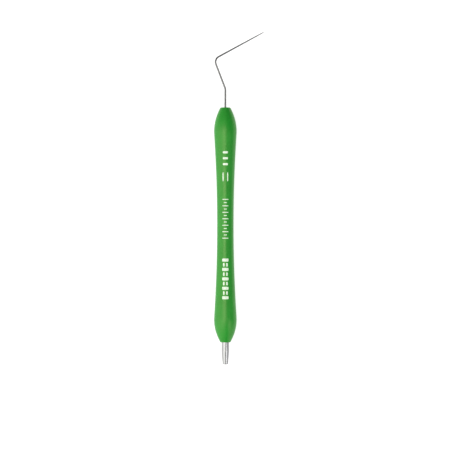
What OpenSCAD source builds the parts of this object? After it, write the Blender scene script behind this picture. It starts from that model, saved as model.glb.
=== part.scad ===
// Dental explorer: a bent, tapered steel point in a tubular steel handle core with a moulded silicone grip.
// It lies on a flat surface, handle along +Y, resting on both swells of the grip and on its point.
// Lengths are in millimetres. Stations along the handle are measured from the butt end of the spigot.

/* [Grip] */
// Length of the silicone grip
grip_len = 115; // [100:1:130]
// Diameter of both swells, front and rear
swell_d = 11.08; // [10:0.02:13]
// Diameter of the waist, halfway between the swells
waist_d = 8.04; // [7.4:0.02:9]
// Distance from the front swell to the front face
front_nose = 11.6; // [10:0.1:16]
// Distance from the rear swell to the rear face
rear_nose = 11; // [10:0.1:16]
// Diameter at the front face, before its edge is rounded
front_face_d = 4.88; // [4.6:0.02:6]
// Diameter at the rear face, before its edge is rounded
rear_face_d = 4.84; // [4.7:0.02:6]
// Radius of the rounded edge at both faces
face_edge_r = 0.5; // [0.3:0.05:0.6]
// How far from each swell the flank's slope is rounded off
swell_blend = 1; // [0.5:0.1:3]

/* [Handle core] */
// Outer diameter of the core tube
tube_d = 5; // [4.6:0.1:5.4]
// Wall of the core tube
tube_wall = 0.5; // [0.4:0.05:0.6]
// Number of ring grooves that key the silicone
groove_count = 9; // [3:1:12]
// Depth of each ring groove
groove_depth = 0.2; // [0.1:0.05:0.25]
// Width of each ring groove
groove_w = 2; // [1:0.5:3]

/* [Butt spigot] */
// Length of the steel spigot that stands out behind the grip
spigot_len = 10.8; // [8:0.1:14]
// Diameter of its cylindrical part
spigot_d = 3.64; // [3.2:0.02:3.7]
// Diameter of its small end
spigot_end_d = 2.66; // [2.2:0.02:3]
// Length of its conical part
spigot_cone = 6; // [4:0.1:7]
// Radius of the rounded edge of its small end
spigot_edge_r = 0.25; // [0.1:0.05:0.4]

/* [Working end] */
// Shank diameter where it leaves the grip
shank_d = 0.92; // [0.9:0.02:1.1]
// Diameter at the first bend
first_bend_d = 0.88; // [0.82:0.02:0.9]
// Diameter at the second bend
second_bend_d = 0.8; // [0.7:0.02:0.82]
// Diameter of the very tip
tip_d = 0.12; // [0.1:0.02:0.2]
// How the point thins out towards its tip: 1 is a plain cone, less keeps it full for longer
point_fullness = 0.36; // [0.3:0.02:1]
// Distance from the grip's front face to the first bend
first_bend = 9.15; // [7:0.05:12]
// Lean of the leg to one side, in degrees from the handle axis
leg_lean = 21.8; // [15:0.1:30]
// Length of the leg between the two bends
leg_len = 15.55; // [12:0.05:20]
// Lean of the point to the other side, in degrees from the handle axis
point_lean = 61.6; // [50:0.1:70]
// Length of the point from the second bend to its tip
point_len = 29; // [24:0.1:32]
// Centreline radius of the first bend
first_bend_r = 4; // [3:0.1:6]
// Centreline radius of the second bend
second_bend_r = 3; // [2:0.1:4]

/* [Printed marks] */
// Height of the marks, across the handle
mark_height = 3.1; // [2:0.1:4]
// Thickness of the ink
ink = 0.05; // [0.04:0.01:0.08]

/* [Hidden] */

// Fineness of round shapes
round_fn = 96;

// Stations along the handle
rear_face = spigot_len;
front_face = rear_face + grip_len;
rear_swell = rear_face + rear_nose;
front_swell = front_face - front_nose;
waist = (rear_swell + front_swell) / 2;
swell_r = swell_d / 2;
waist_r = waist_d / 2;

// End plug: a shoulder that the silicone ends on, a neck, a flange, and an insert pressed in the tube
neck_d = 3;
neck_end = rear_face + 2.2;
flange_end = neck_end + 1;
plug_insert = 8;
tube_bore_d = tube_d - 2 * tube_wall;

// Tip socket: pressed in the front of the tube, with a nose cone and the tang's blind bore
tube_front = front_face - 6.8;
socket_cone = 4.6;
socket_nose_d = 2.2;
socket_insert = 9;
socket_front = tube_front + socket_cone;
tang_d = 1.2;
tang_len = 10;
tang_start = socket_front - tang_len;
drill_point = 0.35;

// Ring grooves, evenly spaced along the tube
groove_pitch = (tube_front - flange_end) / (groove_count + 1);

// Working end, as [sideways, station] in the plane of its bends
leg_way = [-sin(leg_lean), cos(leg_lean)];
leg_side = [cos(leg_lean), sin(leg_lean)];
point_way = [sin(point_lean), cos(point_lean)];
bend_1 = [0, front_face + first_bend];
bend_2 = bend_1 + leg_len * leg_way;
tip = bend_2 + point_len * point_way;
trim_1 = first_bend_r * tan(leg_lean / 2);
trim_2 = second_bend_r * tan((leg_lean + point_lean) / 2);
// Each straight end sinks this far into its bend, with a step too small to see
sink = 0.02;
step = 0.002;

// Rest pose: the handle is rolled until the tip meets the surface that both swells lie on
tip_ball = tip - tip_d / 2 * point_way;
roll = asin((swell_r - tip_d / 2) / tip_ball[0]);
reach_x = tip_ball[0] * cos(roll) + tip_d / 2;
reach_y = tip_ball[1] + tip_d / 2;

// Radius d away from a swell, towards the face at the end of the grip
function nose_r(d, nose, face_d) = swell_r - (swell_r - face_d / 2) * pow(d / nose, 2);

// Radius d away from a swell, towards the waist
function flank_r(d) =
    let (flank = waist - rear_swell)
    let (b = swell_blend)
    let (t = (norm([d, b]) - b) / (norm([flank, b]) - b))
    waist_r + (swell_r - waist_r) * pow(1 - t, 2);

// Radius of the grip at station s, anywhere between the swells
function between_r(s) = s > waist ? flank_r(front_swell - s) : flank_r(s - rear_swell);

// Outline of a nose, from its swell round the edge of its face; side is 1 or -1 along the handle
function nose_outline(swell, side, nose, face_d) =
    let (fall = 2 * (swell_r - face_d / 2) / nose)
    let (lean = atan(fall))
    let (e = face_edge_r)
    let (edge_r = face_d / 2 + fall * e - e / cos(lean))
    let (end = nose - e + e * sin(lean))
    concat(
        [for (i = [0:15]) let (d = end * i / 16) [nose_r(d, nose, face_d), swell + side * d]],
        [for (i = [0:6]) let (a = lean + (90 - lean) * i / 6)
            [edge_r + e * cos(a), swell + side * (nose - e + e * sin(a))]]
    );

function reversed(list) = [for (i = [len(list) - 1:-1:0]) list[i]];

// Outer outline of the grip, from the rear face to the front face
grip_outline = concat(
    reversed(nose_outline(rear_swell, -1, rear_nose, rear_face_d)),
    [for (i = [1:63]) let (s = rear_swell + (front_swell - rear_swell) * i / 64) [between_r(s), s]],
    nose_outline(front_swell, 1, front_nose, front_face_d)
);

// Outer outline of the core tube, with its ring grooves
tube_outline = concat(
    [[tube_d / 2, flange_end]],
    [for (i = [1:groove_count]) let (s = flange_end + groove_pitch * i)
        each [
            [tube_d / 2, s - groove_w / 2],
            [tube_d / 2 - groove_depth, s - groove_w / 2 + groove_depth],
            [tube_d / 2 - groove_depth, s + groove_w / 2 - groove_depth],
            [tube_d / 2, s + groove_w / 2]
        ]],
    [[tube_d / 2, tube_front]]
);

// Inner outline of the grip: the core that the silicone was moulded round, from rear to front
moulded_round = concat(
    [[neck_d / 2, rear_face], [neck_d / 2, neck_end], [tube_d / 2, neck_end]],
    tube_outline,
    [[socket_nose_d / 2, socket_front], [shank_d / 2, socket_front], [shank_d / 2, front_face]]
);

// Sets an upright piece down: laid along +Y, centred, resting on the surface
module laid_down() {
    translate([(swell_r - reach_x) / 2, -reach_y / 2, swell_r])
        rotate([-90, 0, 0])
            children();
}

// Turned piece from an outline of [radius, station] points, with its seam on top once it is laid down
module turned(outline) {
    rotate([0, 0, -90]) rotate_extrude($fn = round_fn) polygon(outline);
}

// The moulded silicone grip
module grip_sleeve() {
    color("#3fa03c") laid_down() turned(concat(grip_outline, reversed(moulded_round)));
}

// The steel tube inside the grip, with ring grooves that stop the silicone creeping
module core_tube() {
    color("#b9bcc0") laid_down() difference() {
        turned(concat([[0, flange_end]], tube_outline, [[0, tube_front]]));
        translate([0, 0, flange_end - 1])
            cylinder(d = tube_bore_d, h = tube_front - flange_end + 2, $fn = round_fn);
    }
}

// The turned plug that closes the rear of the tube and ends in the bare spigot
module end_plug() {
    edge = [spigot_end_d / 2 - spigot_edge_r, spigot_edge_r];
    color("#c9ccd0") laid_down() turned(concat(
        [[0, 0]],
        [for (a = [-90:15:0]) edge + spigot_edge_r * [cos(a), sin(a)]],
        [[spigot_d / 2, spigot_cone], [spigot_d / 2, rear_face]],
        [[neck_d / 2, rear_face], [neck_d / 2, neck_end], [tube_d / 2, neck_end], [tube_d / 2, flange_end]],
        [[tube_bore_d / 2, flange_end], [tube_bore_d / 2, flange_end + plug_insert]],
        [[0, flange_end + plug_insert]]
    ));
}

// The turned socket that closes the front of the tube and holds the tang of the tip
module tip_socket() {
    color("#c9ccd0") laid_down() turned([
        [0, tube_front - socket_insert],
        [tube_bore_d / 2, tube_front - socket_insert],
        [tube_bore_d / 2, tube_front],
        [tube_d / 2, tube_front],
        [socket_nose_d / 2, socket_front],
        [tang_d / 2, socket_front],
        [tang_d / 2, tang_start],
        [0, tang_start - drill_point]
    ]);
}

// Stretch of wire from point a to point b, sunk into the bend at both ends
module wire_run(a, b, r_a, r_b) {
    run = b - a;
    translate([a[0], 0, a[1]])
        rotate([0, atan2(run[0], run[1]), 0])
            translate([0, 0, -sink])
                cylinder(r1 = r_a - step, r2 = r_b - step, h = norm(run) + 2 * sink, $fn = round_fn);
}

// Bend of wire of radius r round a centre, from polar angle a through turn degrees
module wire_bend(centre, bend_r, r, a, turn) {
    translate([centre[0], 0, centre[1]])
        rotate([90, 0, 0])
            rotate([0, 0, a])
                rotate_extrude(angle = turn, $fn = round_fn)
                    translate([bend_r, 0]) circle(r = r, $fn = round_fn);
}

// Ground point that starts at the second bend and ends in a round tip
module ground_point(start, length) {
    tip_r = tip_d / 2;
    start_r = second_bend_d / 2 - step;
    body_len = length - tip_r;
    body = [for (i = [0:15]) let (left = pow(1 - i / 16, 2.2))
        [tip_r + (start_r - tip_r) * pow(left, point_fullness), body_len * (1 - left)]];
    ball = [for (i = [0:5]) [tip_r * cos(18 * i), body_len + tip_r * sin(18 * i)]];
    translate([start[0], 0, start[1]])
        rotate([0, point_lean, 0])
            turned(concat([[0, -sink], [start_r, -sink]], body, ball));
}

// The hardened steel working tip: tang, shank, two bends and the ground point
module working_tip() {
    run_end = bend_1 - [0, trim_1];
    leg_start = bend_1 + trim_1 * leg_way;
    leg_end = bend_2 - trim_2 * leg_way;
    point_start = bend_2 + trim_2 * point_way;
    color("#a9acb0") laid_down() rotate([0, 0, roll]) union() {
        turned([
            [0, tang_start],
            [tang_d / 2, tang_start],
            [tang_d / 2, socket_front],
            [shank_d / 2, socket_front],
            [shank_d / 2, front_face],
            [first_bend_d / 2 - step, run_end[1] + sink],
            [0, run_end[1] + sink]
        ]);
        wire_bend(run_end - [first_bend_r, 0], first_bend_r, first_bend_d / 2, 0, leg_lean);
        wire_run(leg_start, leg_end, first_bend_d / 2, second_bend_d / 2);
        wire_bend(leg_end + second_bend_r * leg_side, second_bend_r, second_bend_d / 2,
            180 - point_lean, leg_lean + point_lean);
        ground_point(point_start, point_len - trim_2);
    }
}

// One patch of ink wrapped on top of the grip: from station s, set off from the middle by offset
module ink_patch(s, length, across, offset = 0) {
    stations = [for (i = [0:4]) s + length * i / 4];
    r = between_r(s + length / 2);
    turn = 2 * asin(across / 2 / r);
    rotate([0, 0, -90 + asin(offset / r) - turn / 2])
        rotate_extrude(angle = turn, $fn = round_fn)
            polygon(concat(
                [for (q = stations) [between_r(q) + 0.001, q]],
                [for (q = reversed(stations)) [between_r(q) + ink, q]]
            ));
}

// Plain bars, ticks and dashes where an instrument carries its print
module printed_marks() {
    h = mark_height;
    color("#e6f4e2") laid_down() {
        // bold bars, with a pair of short dashes between each two
        for (i = [0:4])
            ink_patch(32 + 4.6 * i, 1.5, h);
        for (i = [0:3], side = [-1, 1])
            ink_patch(34.2 + 4.6 * i, 1.7, 0.8, side * h / 4);
        // fine ticks, alternately long and short
        for (i = [0:12])
            ink_patch(61.6 + 1.58 * i, 0.45, i % 2 == 0 ? h : h / 2);
        // two dashes
        for (side = [-1, 1])
            ink_patch(89.6, 4.4, 0.55, side * h * 0.36);
        // three narrow bars
        for (i = [0:2])
            ink_patch(97.4 + 2.9 * i, 1.1, h * 0.8);
    }
}

grip_sleeve();
core_tube();
end_plug();
tip_socket();
working_tip();
printed_marks();
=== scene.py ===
# %% [markdown]
# # A dental explorer, from the frame outwards
# The real tool is one bent steel wire, ground to a point, in a light steel handle core that is
# covered with soft green silicone. Its exact CAD model is loaded first as a fixed frame. Every
# piece below takes its place from that frame, so nothing is fitted by eye.
# Everything is in metres: `MM` turns a millimetre into one.

# %% Load the frame
import math

import bmesh
import bpy
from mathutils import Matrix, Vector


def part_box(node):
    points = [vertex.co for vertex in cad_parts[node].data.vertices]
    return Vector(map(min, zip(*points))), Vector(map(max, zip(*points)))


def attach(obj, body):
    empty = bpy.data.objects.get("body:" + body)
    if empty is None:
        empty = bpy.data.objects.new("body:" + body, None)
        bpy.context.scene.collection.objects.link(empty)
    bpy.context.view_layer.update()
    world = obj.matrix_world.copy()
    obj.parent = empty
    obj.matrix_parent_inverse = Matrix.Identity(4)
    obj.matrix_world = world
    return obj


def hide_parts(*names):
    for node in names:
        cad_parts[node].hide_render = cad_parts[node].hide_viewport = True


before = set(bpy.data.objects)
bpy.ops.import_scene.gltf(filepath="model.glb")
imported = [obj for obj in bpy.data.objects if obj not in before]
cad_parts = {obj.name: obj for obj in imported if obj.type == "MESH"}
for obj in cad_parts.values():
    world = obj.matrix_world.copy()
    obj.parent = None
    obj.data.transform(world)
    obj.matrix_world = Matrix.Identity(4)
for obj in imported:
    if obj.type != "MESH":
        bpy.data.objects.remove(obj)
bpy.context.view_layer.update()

MM = 0.001
GRIP_LOW, GRIP_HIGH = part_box("grip_sleeve")
PLUG_LOW, PLUG_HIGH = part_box("end_plug")
SOCKET_LOW, SOCKET_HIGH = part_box("tip_socket")
AXIS_X = (GRIP_LOW.x + GRIP_HIGH.x) / 2
AXIS_Z = (GRIP_LOW.z + GRIP_HIGH.z) / 2
BUTT = PLUG_LOW.y
print("grip", GRIP_LOW.y, "to", GRIP_HIGH.y, "on an axis at x", AXIS_X, "z", AXIS_Z)

# %% [markdown]
# Several pieces fit into each other, and a fit has one size on both sides. Those sizes are named
# once here. A size that belongs to a single piece stays with that piece. The plug's neck lies
# inside the grip's rear end, and the wire's tang inside the tip socket. A little solid silicone
# is left in front of that socket, and only the wire goes through it.

# %% Sizes that pieces share
TUBE_RADIUS, TUBE_BORE_RADIUS = 2.5 * MM, 2.0 * MM
NECK_RADIUS, NECK_LENGTH = 1.5 * MM, 2.2 * MM
TANG_RADIUS, TANG_LENGTH = 0.6 * MM, 10 * MM
SHANK_RADIUS = 0.46 * MM
SOCKET_CONE = 4.6 * MM
SOLID_FRONT = 2.2 * MM
print("the wire goes", round((TANG_LENGTH + SOLID_FRONT) / MM, 1), "mm into the handle")

# %% [markdown]
# ## Node maths as Python
# Geometry trees and materials are both long chains of Math nodes. Placing them by hand hides the
# formula, so a small class wraps a socket and lets Python's own operators add the nodes.
# `1 - mask` works too, because the reflected operators are there.

# %% A socket that does arithmetic
class Value:
    """A socket that Python arithmetic works on. Each operation adds a Math node to its tree."""

    def __init__(self, tree, socket):
        self.tree = tree
        self.socket = socket

    def math(self, operation, *values):
        return self.tree.add("ShaderNodeMath", {"operation": operation}, dict(enumerate(values)))

    def __add__(self, other):
        return self.math("ADD", self, other)

    def __sub__(self, other):
        return self.math("SUBTRACT", self, other)

    def __rsub__(self, other):
        return self.math("SUBTRACT", other, self)

    def __mul__(self, other):
        return self.math("MULTIPLY", self, other)

    def __truediv__(self, other):
        return self.math("DIVIDE", self, other)

    def __rtruediv__(self, other):
        return self.math("DIVIDE", other, self)

    def __pow__(self, other):
        return self.math("POWER", self, other)

    def __lt__(self, other):
        return self.math("LESS_THAN", self, other)

    def __gt__(self, other):
        return self.math("GREATER_THAN", self, other)

    __radd__ = __add__
    __rmul__ = __mul__

    def sqrt(self):
        return self.math("SQRT", self.at_least(0))

    def sine(self):
        return self.math("SINE", self)

    def cosine(self):
        return self.math("COSINE", self)

    def whole(self):
        return self.math("ROUND", self)

    def size(self):
        return self.math("ABSOLUTE", self)

    def at_least(self, low):
        return self.math("MAXIMUM", self, low)

    def at_most(self, high):
        return self.math("MINIMUM", self, high)

    def ramp(self, start=0.3, end=0.7):
        """0 before start, 1 after end and straight between. 0.3 to 0.7 is where a noise varies."""
        return ((self - start) / (end - start)).at_least(0).at_most(1)

    def pick(self, yes, no):
        """yes where this is 1 and no where it is 0."""
        return (yes - no) * self + no

    def out(self, name):
        """Another output of the same node."""
        return Value(self.tree, self.socket.node.outputs[name])


# %% [markdown]
# Any other node comes from one method. It makes the node, sets its settings first because they
# can change which sockets it has, and then fills or links the sockets by name or number. A list
# is several links into one socket, as Join Geometry takes them.

# %% A tree that adds nodes
class Tree:
    """A node tree that is being written."""

    def __init__(self, data):
        self.data = data

    def add(self, kind, settings=None, sockets=None, output=0):
        """One node of any kind. `items` is how many choices an Index Switch has."""
        node = self.data.nodes.new(kind)
        for name, setting in (settings or {}).items():
            if name == "items":
                while len(node.index_switch_items) < setting:
                    node.index_switch_items.new()
            else:
                setattr(node, name, setting)
        for name, values in (sockets or {}).items():
            for value in values if isinstance(values, list) else [values]:
                if isinstance(value, Value):
                    self.data.links.new(value.socket, node.inputs[name])
                else:
                    node.inputs[name].default_value = value
        return Value(self, node.outputs[output]) if len(node.outputs) else None

    def parts(self, vector):
        """A vector's X, Y and Z."""
        split = self.add("ShaderNodeSeparateXYZ", {}, {0: vector})
        return split.out("X"), split.out("Y"), split.out("Z")

    def vector(self, x, y, z=0.0):
        return self.add("ShaderNodeCombineXYZ", {}, {"X": x, "Y": y, "Z": z})


# %% [markdown]
# A geometry tree is a group with named inputs, as any user of it would want. A group that makes
# a piece ends in two nodes: one makes its instances real, because an export drops them, and one
# sets the material, because a mesh that nodes make starts without any.

# %% Geometry groups
SOCKETS = {float: "NodeSocketFloat", int: "NodeSocketInt", tuple: "NodeSocketVector"}


def geometry_group(name, inputs, output="NodeSocketGeometry"):
    """The tree of a new geometry group. Its given values are the inputs, by name."""
    data = bpy.data.node_groups.new(name, "GeometryNodeTree")
    for label, default in inputs.items():
        kind = SOCKETS.get(type(default), default)
        socket = data.interface.new_socket(label, in_out="INPUT", socket_type=kind)
        if type(default) in SOCKETS:
            socket.default_value = default
    data.interface.new_socket("Result", in_out="OUTPUT", socket_type=output)
    tree = Tree(data)
    source = tree.add("NodeGroupInput")
    tree.given = {label: source.out(label) for label in inputs}
    return tree


def returns(tree, value):
    """Ends a group: value is its result."""
    tree.add("NodeGroupOutput", {}, {"Result": value})
    return tree.data


def returns_piece(tree, geometry):
    """Ends a group that makes a piece: its instances become real and it gets its material."""
    real = tree.add("GeometryNodeRealizeInstances", {}, {"Geometry": geometry})
    return returns(tree, tree.add("GeometryNodeSetMaterial", {}, {
        "Geometry": real, "Material": tree.given["Material"]}))


# %% [markdown]
# A modifier sets a group's inputs by each socket's identifier, so `made_by` looks them up before
# the first evaluation. The evaluated result becomes a plain mesh, and the modifier goes. Every
# mesh then has its doubles welded and its faces turned outwards, whichever way it was made.

# %% From a group to a plain mesh
WELD = 0.0001 * MM


def finished(thing, sharp=50):
    """Welds doubles, turns faces outwards and shades smooth. Edges over sharp degrees stay."""
    shape = bmesh.new()
    shape.from_mesh(thing.data)
    bmesh.ops.remove_doubles(shape, verts=shape.verts, dist=WELD)
    bmesh.ops.recalc_face_normals(shape, faces=shape.faces)
    open_edges = sum(not edge.is_manifold for edge in shape.edges)
    volume = shape.calc_volume(signed=True)
    shape.to_mesh(thing.data)
    shape.free()
    thing.data.shade_smooth()
    thing.data.set_sharp_from_angle(angle=math.radians(sharp))
    print(thing.name, len(thing.data.polygons), "faces,", open_edges, "open edges,",
          round(volume / MM**3, 2), "mm3")
    return thing


def made_by(group, name, values, sharp=50):
    """The mesh that a geometry group makes, as an object with no modifier."""
    thing = bpy.data.objects.new(name, bpy.data.meshes.new(name))
    bpy.context.scene.collection.objects.link(thing)
    modifier = thing.modifiers.new("shape", "NODES")
    modifier.node_group = group
    for socket in group.interface.items_tree:
        if socket.in_out == "INPUT" and socket.name in values:
            modifier[socket.identifier] = values[socket.name]
    graph = bpy.context.evaluated_depsgraph_get()
    mesh = bpy.data.meshes.new_from_object(thing.evaluated_get(graph), depsgraph=graph)
    thing.modifiers.clear()
    thing.data = mesh
    return finished(thing, sharp)


# %% [markdown]
# ## Finishes
# A finish is a Principled shader whose colour, roughness and bump vary as the real one does. All
# patterns read Object coordinates in metres, so a scale of 3000 gives features a third of a
# millimetre wide. What is the same all over stays on the shader's own socket.

# %% A finish
def finish(name, settings):
    """A new material and its tree, with a Principled shader that settings fills in."""
    material = bpy.data.materials.new(name)
    material.use_nodes = True
    material.node_tree.nodes.clear()
    tree = Tree(material.node_tree)
    shader = tree.add("ShaderNodeBsdfPrincipled", {}, settings)
    tree.add("ShaderNodeOutputMaterial", {}, {"Surface": shader})
    tree.shader = shader.socket.node
    tree.here = tree.add("ShaderNodeTexCoord", output="Object")
    return material, tree


def noise(tree, scale, detail=2.0, rough=0.5, where=None):
    """Soft random variation between about 0.25 and 0.75."""
    return tree.add("ShaderNodeTexNoise", {}, {
        "Vector": where or tree.here, "Scale": scale, "Detail": detail, "Roughness": rough})


def streaks(tree, position, scale, detail=3.0):
    """Random variation along one number, as turning and grinding leave."""
    return tree.add("ShaderNodeTexNoise", {"noise_dimensions": "1D"}, {
        "W": position * scale, "Scale": 1.0, "Detail": detail, "Roughness": 0.6})


def blend(tree, factor, a, b):
    """Colour a where factor is 0, b where it is 1."""
    return tree.add("ShaderNodeMix", {"data_type": "RGBA"}, {0: factor, 6: a, 7: b}, output=2)


def bump(tree, height, depth, strength):
    """Tilts the shading as a relief of this height would, 1 being depth metres high."""
    return tree.add("ShaderNodeBump", {}, {"Height": height, "Distance": depth, "Strength": strength})


def feeds(tree, **values):
    """Links values to the shader's sockets, with _ for a space in a socket's name."""
    for name, value in values.items():
        tree.data.links.new(value.socket, tree.shader.inputs[name.replace("_", " ")])


# %% [markdown]
# ### Moulded silicone
# The grip is filled silicone with a fine satin texture from its mould. Pigment is mixed in by
# hand and clouds a little, the surface carries a grain about a tenth of a millimetre across, and
# handling dulls it in soft patches. A two-part mould leaves a hair-thin parting line on each side.
# The gloss is set a little warm, which keeps the lit side a yellowish green.

# %% Silicone
DEEP_GREEN, PALE_GREEN = (0.003, 0.247, 0.019, 1), (0.008, 0.310, 0.030, 1)
PARTING_GREEN = (0.003, 0.150, 0.012, 1)

SILICONE, tree = finish("moulded_silicone", {
    "IOR": 1.5, "Specular IOR Level": 0.8, "Specular Tint": (1.0, 0.9, 0.62, 1)})
height_here = tree.parts(tree.here)[2]
parting = 1 - (height_here - AXIS_Z).size().ramp(0.05 * MM, 0.16 * MM)
clouds = noise(tree, 130, 3)
speckle = noise(tree, 1700)
grain = noise(tree, 7000, 3, 0.6)
wear = noise(tree, 45)
colour = blend(tree, clouds.ramp() * 0.45 + speckle.ramp() * 0.55, DEEP_GREEN, PALE_GREEN)
feeds(tree,
      Base_Color=blend(tree, parting * 0.25, colour, PARTING_GREEN),
      Roughness=0.31 + wear.ramp() * 0.07 + grain * 0.05,
      Normal=bump(tree, grain * 0.7 + speckle * 0.5 + parting * 0.8, 0.02 * MM, 0.5))
print(SILICONE.name)

# %% [markdown]
# ### Turned and polished steel
# The spigot is turned in a lathe and buffed. What is left are fine rings round the axis, mostly
# in the roughness, with the odd deeper one. The rings vary along the handle only, so they come
# from a noise of one number. The hidden socket is turned in the same way and left unpolished.

# %% Steel from the lathe
def turned_steel(name, colour, roughness, ring_depth):
    """Steel with the rings of a lathe round the handle's axis."""
    material, tree = finish(name, {"Metallic": 1.0})
    along = tree.parts(tree.here)[1]
    fine = streaks(tree, along, 9000)
    coarse = streaks(tree, along, 1300, 1.0)
    film = noise(tree, 500, 3)
    pale = tuple(min(1, c * 1.12) for c in colour) + (1,)
    dull = tuple(c * 0.86 for c in colour) + (1,)
    feeds(tree,
          Base_Color=blend(tree, fine.ramp() * 0.6 + film.ramp(0.35) * 0.4, dull, pale),
          Roughness=roughness + (fine - 0.5) * 0.12 + film * 0.05,
          Normal=bump(tree, fine * 0.6 + coarse, ring_depth, 0.35))
    print(name)
    return material


POLISHED = turned_steel("polished_steel", (0.38, 0.38, 0.385), 0.12, 0.004 * MM)
TURNED = turned_steel("turned_steel", (0.56, 0.55, 0.54), 0.30, 0.008 * MM)

# %% [markdown]
# ### Drawn steel
# The core tube is drawn through a die, so its lines run along it. Squeezing the noise's
# coordinates along the handle stretches its grains into such lines.

# %% Drawn tube
DRAWN, tree = finish("drawn_steel", {"Metallic": 1.0})
squeezed = tree.add("ShaderNodeMapping", {}, {"Vector": tree.here, "Scale": (1, 0.02, 1)})
lines = noise(tree, 6000, where=squeezed)
film = noise(tree, 300, 3)
feeds(tree,
      Base_Color=blend(tree, film.ramp(), (0.50, 0.50, 0.51, 1), (0.60, 0.59, 0.58, 1)),
      Roughness=0.32 + lines * 0.15,
      Normal=bump(tree, lines, 0.006 * MM, 0.4))
print(DRAWN.name)

# %% [markdown]
# ### Ground wire
# The point is ground while the wire spins, so its marks run round it wherever it bends. Object
# coordinates can't follow that, so the wire's mesh will carry its own `along` number, the
# distance from its start in metres.

# %% Ground wire
WIRE, tree = finish("ground_wire", {"Metallic": 1.0})
along = tree.add("ShaderNodeAttribute", {"attribute_name": "along"}, output="Fac")
rings = streaks(tree, along, 14000)
bands = streaks(tree, along, 900, 2.0)
film = noise(tree, 900)
feeds(tree,
      Base_Color=blend(tree, rings.ramp() * 0.5 + bands.ramp() * 0.5,
                       (0.155, 0.155, 0.16, 1), (0.23, 0.23, 0.23, 1)),
      Roughness=0.24 + rings * 0.14 + film * 0.06,
      Normal=bump(tree, rings, 0.003 * MM, 0.35))
print(WIRE.name)

# %% [markdown]
# ### Printed ink
# Pad printing lays down a film a few hundredths of a millimetre thick. It covers unevenly, so a
# little of the green shows through, and it has a faint orange-peel surface.

# %% Ink
INK, tree = finish("pad_printed_ink", {"IOR": 1.5})
cover = noise(tree, 2200, 4, 0.65)
peel = noise(tree, 9000)
feeds(tree,
      Base_Color=blend(tree, cover.ramp(0.35, 0.62), (0.60, 0.78, 0.56, 1), (0.88, 0.93, 0.85, 1)),
      Roughness=0.45 + peel * 0.15,
      Normal=bump(tree, peel + cover * 0.5, 0.006 * MM, 0.5))
print(INK.name)

# %% [markdown]
# ## The grip's shape as a rule
# The whole outline follows from nine sizes. Each flank is a parabola that falls from a swell to
# the waist, each nose is a steeper one that falls to its face, and a small arc rounds the face's
# edge. Written as a group, the same rule can shape the grip and wrap the print round it.

# %% The grip's sizes and its rule
GRIP = {
    "Length": GRIP_HIGH.y - GRIP_LOW.y,
    "Swell radius": (GRIP_HIGH.x - GRIP_LOW.x) / 2,
    "Waist radius": 4.02 * MM,
    "Front nose": 11.6 * MM,
    "Rear nose": 11.0 * MM,
    "Front face radius": 2.44 * MM,
    "Rear face radius": 2.42 * MM,
    "Edge radius": 0.5 * MM,
    "Swell blend": 1.0 * MM,
}


def grip_rule():
    """The group that gives the grip's radius at a station, counted from the rear face."""
    tree = geometry_group("grip_radius", {"Station": 0.0, **GRIP}, "NodeSocketFloat")
    of = tree.given
    rear = of["Rear nose"]
    front = of["Length"] - of["Front nose"]
    flank = (front - rear) / 2
    in_front = of["Station"] > rear + flank
    beyond = in_front.pick(of["Station"] - front, rear - of["Station"])
    nose = in_front.pick(of["Front nose"], rear)
    face = in_front.pick(of["Front face radius"], of["Rear face radius"])
    swell, waist = of["Swell radius"], of["Waist radius"]

    # the flank, with its slope rounded off at the swell
    soft = of["Swell blend"]
    run = (beyond * beyond + soft * soft).sqrt() - soft
    whole = (flank * flank + soft * soft).sqrt() - soft
    flank_radius = waist + (swell - waist) * (1 - run / whole) ** 2

    # the nose, and the arc that touches it and the flat face
    nose_radius = swell - (swell - face) * (beyond / nose) ** 2
    edge = of["Edge radius"]
    fall = (swell - face) * 2 / nose
    steep = (fall * fall + 1).sqrt()
    inwards = nose - beyond
    arc_radius = face + fall * edge - steep * edge + (edge * edge - (edge - inwards) ** 2).sqrt()
    on_arc = inwards < edge * (1 - fall / steep)
    return returns(tree, (beyond > 0).pick(on_arc.pick(arc_radius, nose_radius), flank_radius))


GRIP_RADIUS = grip_rule()
print("the grip rule has", len(GRIP_RADIUS.nodes), "nodes")

# %% [markdown]
# ## The grip
# On the real tool this is one moulding with a hole right through it. Here a flat grid is rolled
# up: its columns go round the axis and its rows go out along the outside and back along the bore.
# Rows crowd together at both ends by a cosine, which is where the outline turns fastest.

# %% Places round the handle
def grip_at(tree, station):
    """The grip's radius at a station, inside another tree with the same inputs."""
    sockets = {name: tree.given[name] for name in GRIP}
    return tree.add("GeometryNodeGroup", {"node_tree": GRIP_RADIUS}, {"Station": station, **sockets})


def round_axis(tree, radius, turn, station):
    """The place at that radius and station, turned that far from straight up about the axis."""
    x, y, z = tree.parts(tree.given["Axis"])
    return tree.vector(x + radius * turn.sine(), y + station, z + radius * turn.cosine())


# %% [markdown]
# The bore follows the handle's core from the rear to the front: the plug's neck, the tube, the
# socket's cone and the wire. The grid's two long edges meet under a weld, as do its first and
# last rows, so the moulding is closed.

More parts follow.
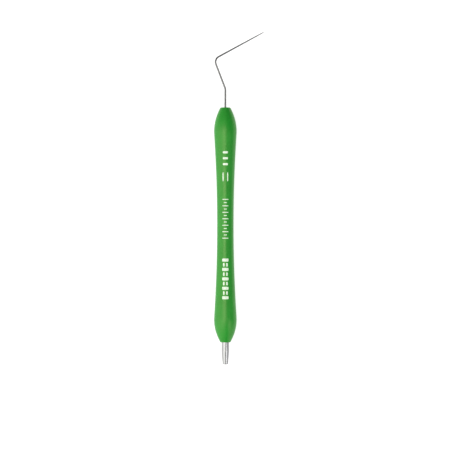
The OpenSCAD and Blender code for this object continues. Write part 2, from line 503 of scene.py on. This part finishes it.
# %% The grip
def rolled_grip():
    sizes = {"Around": 112, "Along": 150, "Axis": (0.0, 0.0, 0.0), "Neck radius": NECK_RADIUS,
             "Neck length": NECK_LENGTH, "Tube radius": TUBE_RADIUS, "Socket cone": SOCKET_CONE,
             "Solid front": SOLID_FRONT, "Shank radius": SHANK_RADIUS,
             "Material": "NodeSocketMaterial"}
    tree = geometry_group("grip", {**GRIP, **sizes})
    of = tree.given
    rows = of["Along"] * 2 + 3
    grid = tree.add("GeometryNodeMeshGrid", {}, {
        "Size X": 1.0, "Size Y": 1.0, "Vertices X": of["Around"] + 1, "Vertices Y": rows})
    across, up, _ = tree.parts(grid.out("UV Map"))

    # the first half of the rows and the very last one lie outside, the rest line the bore
    row = (up * (rows - 1)).whole()
    going_out = row < of["Along"] + 0.5
    outside = going_out + (row > of["Along"] * 2 + 1.5)
    step = outside.pick(going_out * row, of["Along"] * 2 + 1 - row)
    station = (1 - (step / of["Along"] * math.pi).cosine()) * of["Length"] / 2

    from_cone = (of["Length"] - of["Solid front"] - station).at_least(0)
    taper = (of["Tube radius"] - of["Shank radius"]) / of["Socket cone"]
    core = (of["Shank radius"] + from_cone * taper).at_most(of["Tube radius"])
    bore = (station < of["Neck length"]).pick(of["Neck radius"], core)
    radius = outside.pick(grip_at(tree, station), bore)
    rolled = tree.add("GeometryNodeSetPosition", {}, {
        "Geometry": grid, "Position": round_axis(tree, radius, across * (2 * math.pi), station)})
    return returns_piece(tree, tree.add("GeometryNodeMergeByDistance", {}, {
        "Geometry": rolled, "Distance": WELD}))


GRIP_START = (AXIS_X, GRIP_LOW.y, AXIS_Z)
grip = made_by(rolled_grip(), "grip", {**GRIP, "Axis": GRIP_START, "Material": SILICONE})
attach(grip, "root")
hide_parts("grip_sleeve")

# %% [markdown]
# ## The working tip
# The real wire is ground to its taper while straight and then bent twice, all in one plane. The
# handle rests on its two swells and the wire on its very tip, so that plane is rolled down to the
# side by just the angle that brings the tip to the table.

# %% The wire's route
LEG_LEAN, POINT_LEAN = math.radians(21.8), math.radians(61.6)
LEG, POINT, TIP_RADIUS = 15.55 * MM, 29 * MM, 0.06 * MM
FIRST_BEND_CURVE, SECOND_BEND_CURVE = 4 * MM, 3 * MM
SHANK_STANDS_OUT = 9.15 * MM
REACH = (POINT - TIP_RADIUS) * math.sin(POINT_LEAN) - LEG * math.sin(LEG_LEAN)
ROLL = math.asin((AXIS_Z - TIP_RADIUS) / REACH)
TANG_START = GRIP_HIGH.y - SOLID_FRONT - TANG_LENGTH


def laid(sideways, y):
    """A point of the wire's plane, which leans down to the side by ROLL."""
    return (AXIS_X + sideways * math.cos(ROLL), y, AXIS_Z - sideways * math.sin(ROLL))


def onwards(start, lean, length):
    """The point that far on from start, in a direction that leans from the handle's."""
    return (start[0] + length * math.sin(lean), start[1] + length * math.cos(lean))


first_corner = (0.0, GRIP_HIGH.y + SHANK_STANDS_OUT)
second_corner = onwards(first_corner, -LEG_LEAN, LEG)
tip_end = onwards(second_corner, POINT_LEAN, POINT)
ROUTE = {"Start": laid(0, TANG_START), "First corner": laid(*first_corner),
         "Second corner": laid(*second_corner), "End": laid(*tip_end)}
print("the tip ends", round(ROUTE["End"][2] / MM, 3), "mm above the table")

# %% [markdown]
# Grinding follows distances along the wire, so each bend's start and end are needed as such
# distances. A bend starts and ends a tangent's length from its corner.

# %% Distances along the wire
first_trim = FIRST_BEND_CURVE * math.tan(LEG_LEAN / 2)
second_trim = SECOND_BEND_CURVE * math.tan((LEG_LEAN + POINT_LEAN) / 2)
ALONG = {"Leaves grip": TANG_LENGTH + SOLID_FRONT}
ALONG["First bend"] = first_corner[1] - TANG_START - first_trim
ALONG["Leg"] = ALONG["First bend"] + FIRST_BEND_CURVE * LEG_LEAN
ALONG["Second bend"] = ALONG["Leg"] + LEG - first_trim - second_trim
ALONG["Point"] = ALONG["Second bend"] + SECOND_BEND_CURVE * (LEG_LEAN + POINT_LEAN)
ALONG["Tip"] = ALONG["Point"] + POINT - second_trim
print("starts in mm:", {name: round(distance / MM, 2) for name, distance in ALONG.items()})

# %% [markdown]
# A line of four points gets its two corners filleted, and a circle is swept along it with a scale
# that follows the taper. The point keeps its thickness for most of its way and thins fastest at
# the end, which a power below 1 gives. `along` is stored for the grinding marks.

# %% The working tip
WIRE_SIZES = {"Tang radius": TANG_RADIUS, "Tang length": TANG_LENGTH, "Shank radius": SHANK_RADIUS,
              "First bend radius": 0.44 * MM, "Second bend radius": 0.40 * MM,
              "Tip radius": TIP_RADIUS, "Fullness": 0.36, "First bend curve": FIRST_BEND_CURVE,
              "Second bend curve": SECOND_BEND_CURVE, "Points per bend": 24, "Rings": 340,
              "Sides": 28, "Material": "NodeSocketMaterial"}


def bent_line(tree):
    """The wire's centre line: four points, joined, with a curve at each of the two corners."""
    of = tree.given
    which = tree.add("GeometryNodeInputIndex")
    places = {number + 1: of[name] for number, name in enumerate(ROUTE)}
    line = tree.add("GeometryNodeSetPosition", {}, {
        "Geometry": tree.add("GeometryNodeMeshLine", {}, {"Count": len(ROUTE)}),
        "Position": tree.add("GeometryNodeIndexSwitch", {"data_type": "VECTOR", "items": len(ROUTE)},
                             {"Index": which, **places})})
    bent = tree.add("GeometryNodeFilletCurve", {"mode": "POLY"}, {
        "Curve": tree.add("GeometryNodeMeshToCurve", {}, {"Mesh": line}),
        "Count": of["Points per bend"], "Limit Radius": True,
        "Radius": (which < 1.5).pick(of["First bend curve"], of["Second bend curve"])})
    return tree.add("GeometryNodeResampleCurve", {}, {"Curve": bent, "Count": of["Rings"]})


def wire_radius(of, along):
    """The wire's radius at a distance along it: tang, shank, leg, then the ground point."""
    shank, first, second = of["Shank radius"], of["First bend radius"], of["Second bend radius"]
    shank = shank - (shank - first) * along.ramp(of["Leaves grip"], of["First bend"])
    shaft = shank - (first - second) * along.ramp(of["Leg"], of["Second bend"])
    left = 1 - along.ramp(of["Point"], of["Tip"])
    ground = of["Tip radius"] + (shaft - of["Tip radius"]) * left ** of["Fullness"]
    return (along < of["Tang length"]).pick(of["Tang radius"], ground)


def swept_wire():
    points = {name: (0.0, 0.0, 0.0) for name in ROUTE}
    tree = geometry_group("working_tip", {**points, **ALONG, **WIRE_SIZES})
    along = tree.add("GeometryNodeSplineParameter", output="Length")
    line = tree.add("GeometryNodeStoreNamedAttribute", {"data_type": "FLOAT", "domain": "POINT"}, {
        "Geometry": bent_line(tree), "Name": "along", "Value": along})
    ring = tree.add("GeometryNodeCurvePrimitiveCircle", {"mode": "RADIUS"}, {
        "Resolution": tree.given["Sides"], "Radius": 1.0})
    return returns_piece(tree, tree.add("GeometryNodeCurveToMesh", {}, {
        "Curve": line, "Profile Curve": ring, "Scale": wire_radius(tree.given, along),
        "Fill Caps": True}))


wire = made_by(swept_wire(), "explorer_tip", {**ROUTE, "Material": WIRE})
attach(wire, "root")
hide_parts("working_tip")

# %% [markdown]
# ## The end plug
# A lathe makes this piece, so the script does the same: an outline of radii and places along the
# handle is revolved about its axis. Both ends of the outline lie on the axis, where the ring
# shrinks to one closed pole.

# %% A lathe
def turned(name, outline, material, sides=96):
    """A piece revolved from (radius, y) points about the handle's axis."""
    shape = bmesh.new()
    turns = [2 * math.pi * i / sides for i in range(sides)]
    rings = []
    for radius, y in outline:
        if radius == 0:
            rings.append([shape.verts.new((AXIS_X, y, AXIS_Z))] * sides)
        else:
            rings.append([shape.verts.new(
                (AXIS_X + radius * math.sin(a), y, AXIS_Z + radius * math.cos(a))) for a in turns])
    for low, high in zip(rings, rings[1:]):
        for i in range(sides):
            shape.faces.new(dict.fromkeys((low[i - 1], low[i], high[i], high[i - 1])))
    mesh = bpy.data.meshes.new(name)
    shape.to_mesh(mesh)
    shape.free()
    mesh.materials.append(material)
    thing = bpy.data.objects.new(name, mesh)
    bpy.context.scene.collection.objects.link(thing)
    return finished(thing, 35)


def rear_edge(radius, y, edge, steps=6):
    """The rounded edge of a rear face at y: an arc from the face out to that radius."""
    angles = [math.radians(-90 + 90 * i / steps) for i in range(steps + 1)]
    return [(radius - edge + edge * math.cos(a), y + edge + edge * math.sin(a)) for a in angles]


# %% [markdown]
# The spigot is a short cylinder and a long cone. A small arc breaks the butt's edge, as a file
# does on the lathe, and buffing softens the corner between the two. Inside the grip the plug
# necks down and widens to a flange, so that the silicone can't be pulled off.

# %% The end plug
SPIGOT_RADIUS, SPIGOT_END_RADIUS, SPIGOT_EDGE = 1.82 * MM, 1.33 * MM, 0.25 * MM
NECK_END = GRIP_LOW.y + NECK_LENGTH
FLANGE_END = NECK_END + 1.0 * MM

plug = turned("end_plug_spigot", [
    (0, BUTT),
    *rear_edge(SPIGOT_END_RADIUS, BUTT, SPIGOT_EDGE),
    # the soft corner between the cone and the cylinder
    (1.78 * MM, BUTT + 5.6 * MM),
    (1.811 * MM, BUTT + 5.9 * MM),
    (SPIGOT_RADIUS, BUTT + 6.2 * MM),
    (SPIGOT_RADIUS, GRIP_LOW.y),
    # the neck, the flange and the insert that is pressed into the tube
    (NECK_RADIUS, GRIP_LOW.y),
    (NECK_RADIUS, NECK_END),
    (TUBE_RADIUS, NECK_END),
    (TUBE_RADIUS, FLANGE_END),
    (TUBE_BORE_RADIUS, FLANGE_END),
    (TUBE_BORE_RADIUS, PLUG_HIGH.y),
    (0, PLUG_HIGH.y),
], POLISHED)
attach(plug, "root")
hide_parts("end_plug")

# %% [markdown]
# ## The printed marks
# An instrument carries its print along the grip. Here it is plain: bars, dashes and ticks, each
# kind a row of the same small patch at an even pitch. First come the rows.

# %% The rows of the print
# Millimetres from the rear face to the first patch, from one patch to the next, and along one
# patch; how many there are; then, as shares of the print's height, how far a patch reaches across
# the handle and how far it sits to the right.
PRINT_ROWS = {
    "bars": (21.2, 4.6, 1.5, 5, 1.0, 0.0),
    "right dashes": (23.4, 4.6, 1.7, 4, 0.26, 0.25),
    "left dashes": (23.4, 4.6, 1.7, 4, 0.26, -0.25),
    "long ticks": (50.8, 3.16, 0.45, 7, 1.0, 0.0),
    "short ticks": (52.38, 3.16, 0.45, 6, 0.5, 0.0),
    "right long dash": (78.8, 4.6, 4.4, 1, 0.18, 0.36),
    "left long dash": (78.8, 4.6, 4.4, 1, 0.18, -0.36),
    "narrow bars": (86.6, 2.9, 1.1, 3, 0.8, 0.0),
}
print(sum(row[3] for row in PRINT_ROWS.values()), "patches of ink")

# %% [markdown]
# A row is made by instancing. Each patch starts as a thin flat slab. Once the instances are real,
# the grip's own rule wraps them: distance across becomes an angle, and height becomes radius.

# %% The printed marks
def ink_slab(tree, across, along):
    """A flat slab of ink with its corners drawn in a little, as a printing pad leaves them."""
    slab = tree.add("GeometryNodeMeshCube", {}, {
        "Size": tree.vector(across, along, tree.given["Ink"]),
        "Vertices X": 9, "Vertices Y": 7, "Vertices Z": 2})
    x, y, z = tree.parts(tree.add("GeometryNodeInputPosition"))
    u, v = x / (across / 2), y / (along / 2)
    drawn_in = 0.09 * MM
    return tree.add("GeometryNodeSetPosition", {}, {"Geometry": slab, "Position": tree.vector(
        x - u * v.size() ** 8 * drawn_in, y - v * u.size() ** 8 * drawn_in, z)})


def wrapped_marks():
    sizes = {"Height": 3.1 * MM, "Ink": 0.04 * MM, "Gap": 0.01 * MM, "Axis": (0.0, 0.0, 0.0),
             "Material": "NodeSocketMaterial"}
    tree = geometry_group("printed_marks", {**GRIP, **sizes})
    height = tree.given["Height"]
    rows = []
    for start, pitch, length, count, share, offset in PRINT_ROWS.values():
        spots = tree.add("GeometryNodeMeshLine", {}, {
            "Count": count, "Offset": (0, pitch * MM, 0),
            "Start Location": tree.vector(height * offset, (start + length / 2) * MM)})
        rows.append(tree.add("GeometryNodeInstanceOnPoints", {}, {
            "Points": spots, "Instance": ink_slab(tree, height * share, length * MM)}))
    joined = tree.add("GeometryNodeJoinGeometry", {}, {0: rows})
    flat = tree.add("GeometryNodeRealizeInstances", {}, {"Geometry": joined})

    x, y, z = tree.parts(tree.add("GeometryNodeInputPosition"))
    radius = grip_at(tree, y)
    lifted = radius + z + tree.given["Gap"]
    return returns_piece(tree, tree.add("GeometryNodeSetPosition", {}, {
        "Geometry": flat, "Position": round_axis(tree, lifted, x / radius, y)}))


marks = made_by(wrapped_marks(), "print", {**GRIP, "Axis": GRIP_START, "Material": INK}, 60)
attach(marks, "root")
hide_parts("printed_marks")

# %% [markdown]
# ## The hidden core
# The same lathe turns the socket that holds the wire's tang. Its bore ends in the cone that a
# drill leaves.

# %% The tip socket
SEAT = SOCKET_HIGH.y - SOCKET_CONE
BORE_END = SOCKET_HIGH.y - TANG_LENGTH
NOSE_RADIUS, INSERT_EDGE, DRILL_CONE = 1.1 * MM, 0.2 * MM, 0.35 * MM

socket = turned("tang_socket", [
    (0, SOCKET_LOW.y),
    *rear_edge(TUBE_BORE_RADIUS, SOCKET_LOW.y, INSERT_EDGE),
    (TUBE_BORE_RADIUS, SEAT),
    (TUBE_RADIUS, SEAT),
    (NOSE_RADIUS, SOCKET_HIGH.y),
    (TANG_RADIUS, SOCKET_HIGH.y),
    (TANG_RADIUS, BORE_END),
    (0, BORE_END - DRILL_CONE),
], TURNED)
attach(socket, "root")
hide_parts("tip_socket")

# %% [markdown]
# The core tube never shows and needs no more than the exact model has. That piece is kept as it
# is and only gets the finish of a drawn tube.

# %% The core tube's finish
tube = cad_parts["core_tube"]
tube.data.materials.clear()
tube.data.materials.append(DRAWN)
print("core_tube is", DRAWN.name)

# %% [markdown]
# ## Table, light and camera
# The tool lies on a lit white table, as small steel tools usually do for a catalogue: light from
# below keeps shadows faint. The glow is a little short of full white, and the lights above make up
# the rest.

# %% The table
TABLE_SIZE = 3.0
half = TABLE_SIZE / 2
table_mesh = bpy.data.meshes.new("table")
table_mesh.from_pydata(
    [(-half, -half, 0), (half, -half, 0), (half, half, 0), (-half, half, 0)], [], [(0, 1, 2, 3)])
table = bpy.data.objects.new("table", table_mesh)
bpy.context.scene.collection.objects.link(table)
paper, tree = finish("white_table", {
    "Emission Color": (1.0, 1.0, 1.0, 1), "Emission Strength": 0.64})
fibres = noise(tree, 900, 3)
feeds(tree,
      Base_Color=blend(tree, fibres, (0.38, 0.38, 0.38, 1), (0.44, 0.44, 0.44, 1)),
      Roughness=0.7 + fibres * 0.1)
table_mesh.materials.append(paper)
print("the table is", TABLE_SIZE, "m square")

# %% [markdown]
# The room is bright on the left and dim on the right, so the silicone gets one broad sheen and a
# deep far side. Its bright part fades out towards both ends of the handle, where the rounded
# noses would mirror it as a hard spot. Each ramp below is one such edge, in the direction's own
# numbers from -1 to 1.

# %% The room
world = bpy.data.worlds.new("studio")
bpy.context.scene.world = world
world.use_nodes = True
world.node_tree.nodes.clear()
tree = Tree(world.node_tree)
across, ahead, _ = tree.parts(tree.add("ShaderNodeTexCoord", output="Generated"))
fades_ahead = 1 - ahead.ramp(0.0, 0.42)
fades_behind = 1 - (0 - ahead).ramp(0.2, 0.75) * 0.75
lit = (0 - across).ramp(-0.05, 0.10) * fades_ahead * fades_behind
bright_side = blend(tree, lit, (0.45, 0.45, 0.45, 1), (1.65, 1.65, 1.58, 1))
shade = blend(tree, across.ramp(0.10, 0.32), bright_side, (0.24, 0.24, 0.24, 1))
room = tree.add("ShaderNodeBackground", {}, {"Color": shade, "Strength": 1.0})
tree.add("ShaderNodeOutputWorld", {}, {"Surface": room})
print("the room has", len(world.node_tree.nodes), "nodes")

# %% [markdown]
# One soft light hangs over the grip. Polished steel mirrors the room exactly, so the spigot needs
# lights of its own, nearer the butt: one on the left, one on the right with a dark gap between
# it and the bright side, and a weaker one low down for the spigot's edge. A wide light far behind
# fills the right side a little.

# %% The lights
WHITE, WARM = (1.0, 1.0, 1.0), (1.0, 0.95, 0.87)


def soft_light(name, lean, radiance, width, length, behind, distance=0.6, colour=WHITE):
    """A soft light, lean degrees to the right of straight above the handle and turned to it.

    It stands behind metres from the middle towards the butt, and faces straight across."""
    data = bpy.data.lights.new(name, "AREA")
    data.shape = "RECTANGLE"
    data.size, data.size_y = width, length
    data.energy = radiance * math.pi * width * length
    data.color = colour
    light = bpy.data.objects.new(name, data)
    angle = math.radians(lean)
    light.location = (AXIS_X + distance * math.sin(angle), -behind, AXIS_Z + distance * math.cos(angle))
    light.rotation_euler = (0, angle, 0)
    bpy.context.scene.collection.objects.link(light)
    print(name, round(data.energy, 2), "W")


soft_light("grip_light", -7, 2.5, 0.39, 0.19, -0.005, colour=WARM)
soft_light("left_light", -38, 0.35, 0.30, 0.20, 0.195)
soft_light("right_light", 40, 2.2, 0.30, 0.20, 0.195)
soft_light("low_light", 67, 0.7, 0.24, 0.20, 0.195)
soft_light("fill_light", 66, 0.95, 0.7, 0.7, 0.7, distance=0.8)

# %% [markdown]
# The camera looks straight down, from far enough that the handle's height hardly spreads it. The
# view gets a little more contrast than it has as it stands, which whitens the table and deepens
# the green together.

# %% The camera
FIELD = 220.5 * MM
TO_THE_SIDE, FROM_THE_BUTT = -0.18 * MM, 68.26 * MM

camera_data = bpy.data.cameras.new("camera")
camera_data.lens = 200
camera_data.clip_end = 20
camera = bpy.data.objects.new("camera", camera_data)
bpy.context.scene.collection.objects.link(camera)
bpy.context.scene.camera = camera
distance = FIELD * camera_data.lens / camera_data.sensor_width
camera.location = (AXIS_X + TO_THE_SIDE, BUTT + FROM_THE_BUTT, AXIS_Z + distance)
bpy.context.scene.view_settings.view_transform = "Standard"
bpy.context.scene.view_settings.look = "Medium High Contrast"
print("the camera looks straight down from", round(distance, 3), "m")
